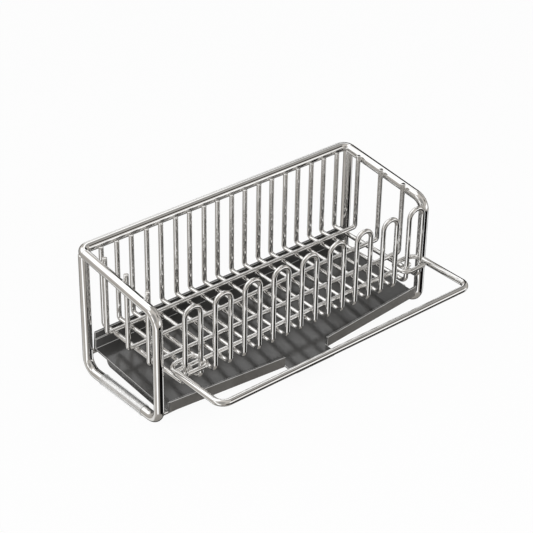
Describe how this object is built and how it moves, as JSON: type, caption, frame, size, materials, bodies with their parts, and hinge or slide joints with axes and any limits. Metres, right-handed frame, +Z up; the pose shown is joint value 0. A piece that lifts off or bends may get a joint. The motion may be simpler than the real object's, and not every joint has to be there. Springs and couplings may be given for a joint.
{
  "type": "kitchen sink caddy",
  "caption": "Chromed wire sink caddy: a rack of hairpin wires in a bent-rod frame over a sloping drip tray that slides out, with a drop-down cloth bar in front.",
  "frame": {"origin": "on the ground, in the middle of the footprint with the cloth bar raised and the tray in", "axes": "+X along the rack to the right seen from the front, +Y to the back, +Z up"},
  "size_m": [0.2414, 0.142, 0.0984],
  "materials": {
    "chrome": "polished",
    "tray": "satin",
    "sleeve": "clear"
  },
  "bodies": {
    "rack": {"left_end_frame": "chrome", "right_end_frame": "chrome", "back_rail": "chrome", "rack_wire_1": "chrome", "rack_wire_2": "chrome", "rack_wire_3": "chrome", "rack_wire_4": "chrome", "rack_wire_5": "chrome", "rack_wire_6": "chrome", "rack_wire_7": "chrome", "rack_wire_8": "chrome", "rack_wire_9": "chrome", "front_long_wire": "chrome", "middle_long_wire": "chrome", "back_long_wire": "chrome", "front_tie_wire": "chrome", "front_support_wire": "chrome", "rear_support_wire": "chrome", "left_sleeve": "sleeve", "right_sleeve": "sleeve"},
    "tray": {"drip_tray": "tray"},
    "bar": {"cloth_bar": "chrome"}
  },
  "joints": [
    {"name": "tray_slide", "type": "slide", "parent": "rack", "child": "tray", "axis": [0, -0.9964, -0.0847], "range_m": [0, 0.058]},
    {"name": "bar_hinge", "type": "hinge", "parent": "rack", "child": "bar", "pos_m": [0, -0.02948, 0.04435], "axis": [-1, 0, 0], "range_deg": [-52, 12]}
  ]
}
